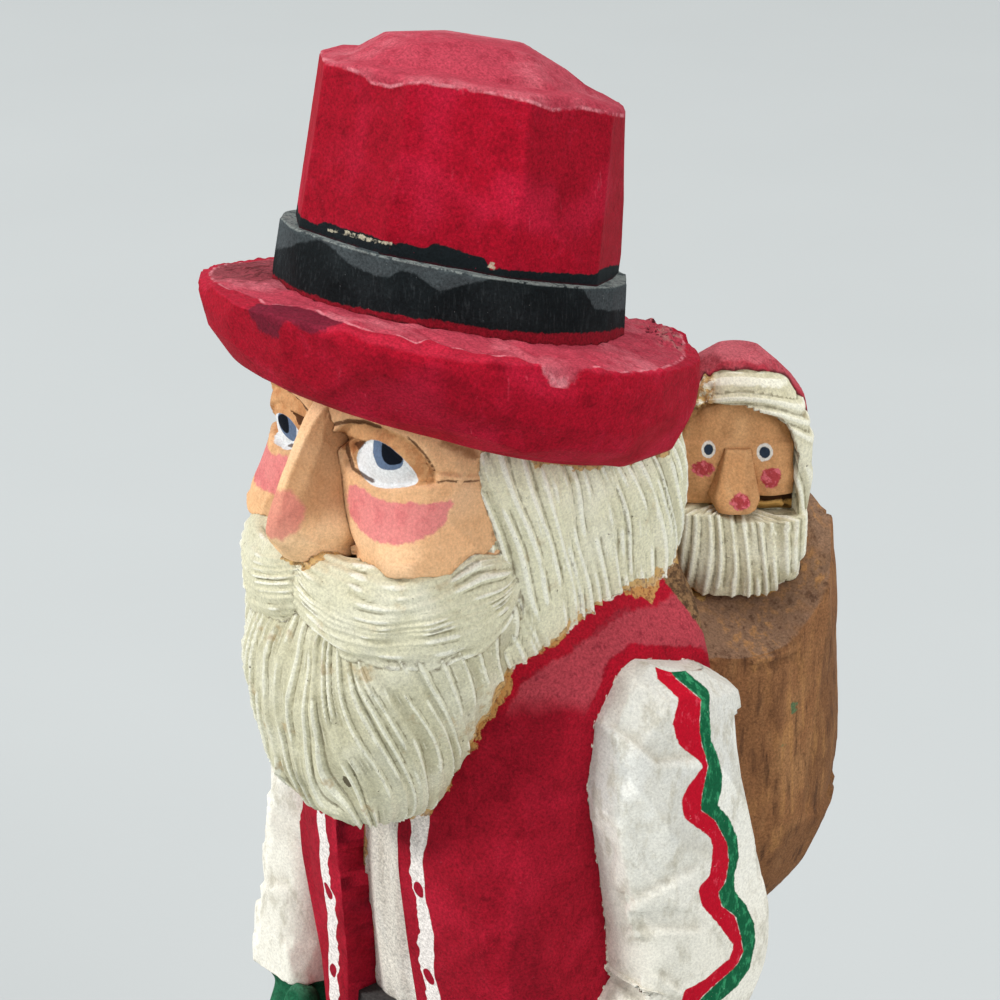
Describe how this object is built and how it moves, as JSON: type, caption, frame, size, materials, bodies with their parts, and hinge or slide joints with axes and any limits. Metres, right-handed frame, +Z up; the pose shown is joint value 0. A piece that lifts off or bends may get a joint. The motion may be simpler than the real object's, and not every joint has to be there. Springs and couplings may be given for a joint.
{
  "type": "carved santa figure",
  "caption": "Folk-art santa carved from one block and painted: brimmed hat, long beard, trimmed waistcoat, sack with a doll on the back, standing on a low base",
  "frame": {"origin": "middle of the underside of the base, on the surface that the figure stands on", "axes": "+Z up through the hat, -Y is where the figure faces, +X is towards its left hand"},
  "size_m": [0.109, 0.1391, 0.33],
  "materials": {
    "carved_wood": "hand-painted in matt crimson, cream, flesh, black and brown, with bare wood in the deep cuts and worn edges"
  },
  "bodies": {
    "root": {"santa_carving": "carved_wood"}
  },
  "joints": []
}
